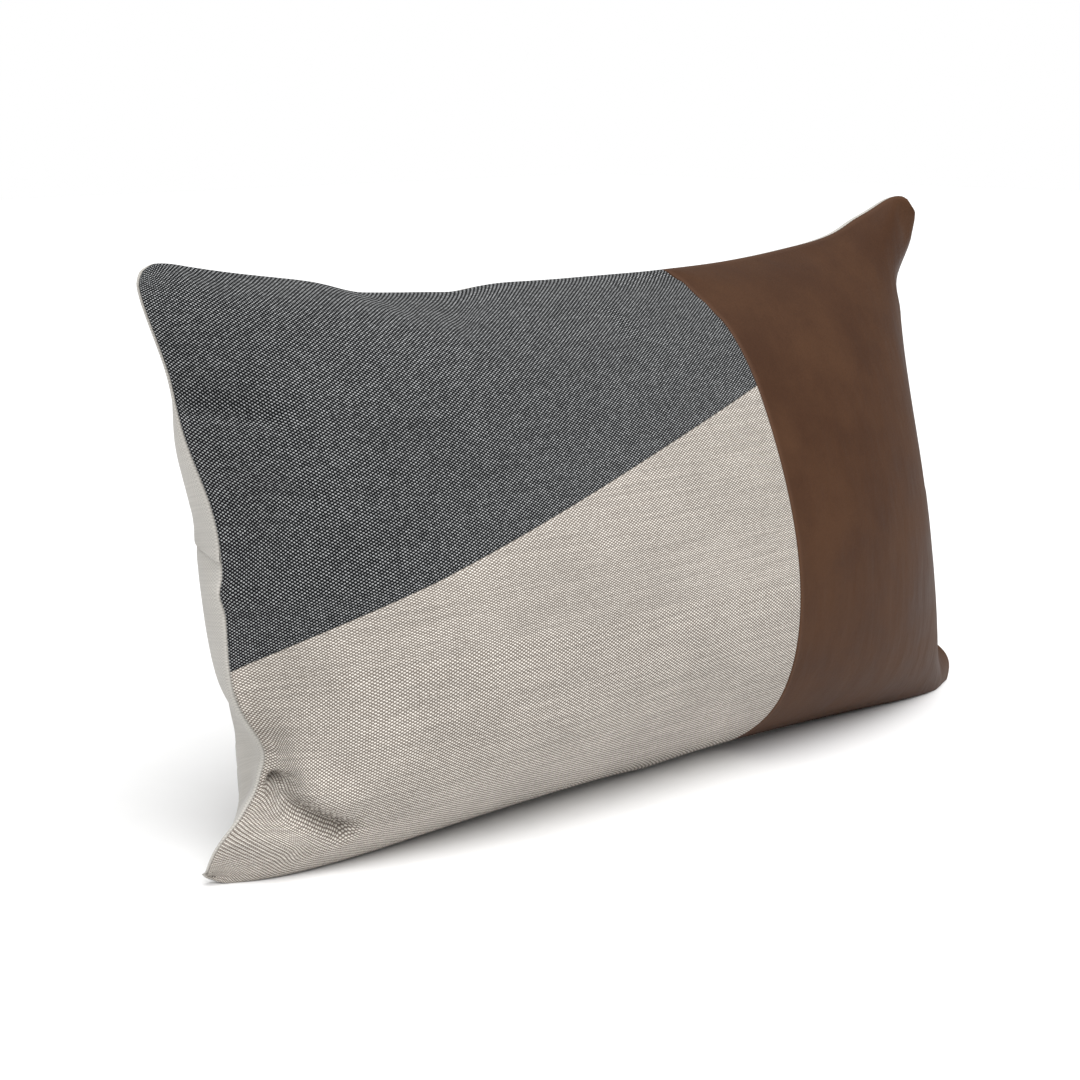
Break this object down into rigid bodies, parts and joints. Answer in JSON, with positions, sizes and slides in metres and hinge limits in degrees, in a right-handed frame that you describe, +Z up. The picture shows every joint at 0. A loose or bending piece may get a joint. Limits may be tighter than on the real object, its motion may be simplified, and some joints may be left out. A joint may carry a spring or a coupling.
{
  "type": "throw pillow",
  "caption": "Stuffed lumbar throw pillow with a canvas and leather panelled front, a plain back with a zip, and a removable fibre-filled insert.",
  "frame": {"origin": "bottom centre of the pillow's box, on the surface it stands on", "axes": "+Z up, +X along the long side to the right as seen from the front, +Y towards the back; the panelled front faces -Y and the pillow leans back about 10 degrees"},
  "size_m": [0.6074, 0.1756, 0.3224],
  "materials": {
    "charcoal_canvas": "coarse half-panama canvas, black yarns crossed by white ones, matt",
    "cream_canvas": "coarse canvas in oatmeal, cream yarns over greige ones, matt",
    "brown_leather": "smooth dark brown leather with a fine grain and a soft satin shine",
    "back_cloth": "fine plain weave in pale greige, matt",
    "thread": "spun polyester sewing thread, greige",
    "zip_tape": "woven polyester tape, greige",
    "zip_nylon": "nylon coil teeth, greige, slight sheen",
    "zip_metal": "nickel-plated zinc, satin",
    "casing_cloth": "white non-woven casing",
    "fibre": "white polyester fibre filling",
    "label_cloth": "blank white satin label"
  },
  "bodies": {
    "pillow": {"front_charcoal_panel": "charcoal_canvas", "front_cream_panel": "cream_canvas", "front_leather_panel": "brown_leather", "back_upper_panel": "back_cloth", "back_lower_panel": "back_cloth", "charcoal_cream_seam_thread": "thread", "leather_seam_thread": "thread", "rim_seam_thread": "thread", "zip_lap_topstitch": "thread", "zip_lower_topstitch": "thread", "zip_upper_tape": "zip_tape", "zip_lower_tape": "zip_tape", "zip_upper_teeth": "zip_nylon", "zip_lower_teeth": "zip_nylon", "zip_bottom_stop": "zip_metal", "zip_top_stop_upper": "zip_metal", "zip_top_stop_lower": "zip_metal", "insert_front_casing": "casing_cloth", "insert_back_casing": "casing_cloth", "insert_rim_seam_thread": "thread", "insert_closing_stitch": "thread", "fibre_fill": "fibre", "care_label": "label_cloth"},
    "slider": {"zip_slider": "zip_metal"},
    "pull_tab": {"zip_pull_tab": "zip_metal"}
  },
  "joints": [
    {"name": "slider_travel", "type": "hinge", "parent": "pillow", "child": "slider", "pos_m": [0.0045, -1.25656, 0.02673], "axis": [0, -0.1027, 0.9947], "range_deg": [0, 14.08]},
    {"name": "pull_tab_swing", "type": "hinge", "parent": "slider", "child": "pull_tab", "pos_m": [0.17027, 0.07835, 0.16453], "axis": [0, 0.1027, -0.9947], "range_deg": [0, 175]}
  ]
}
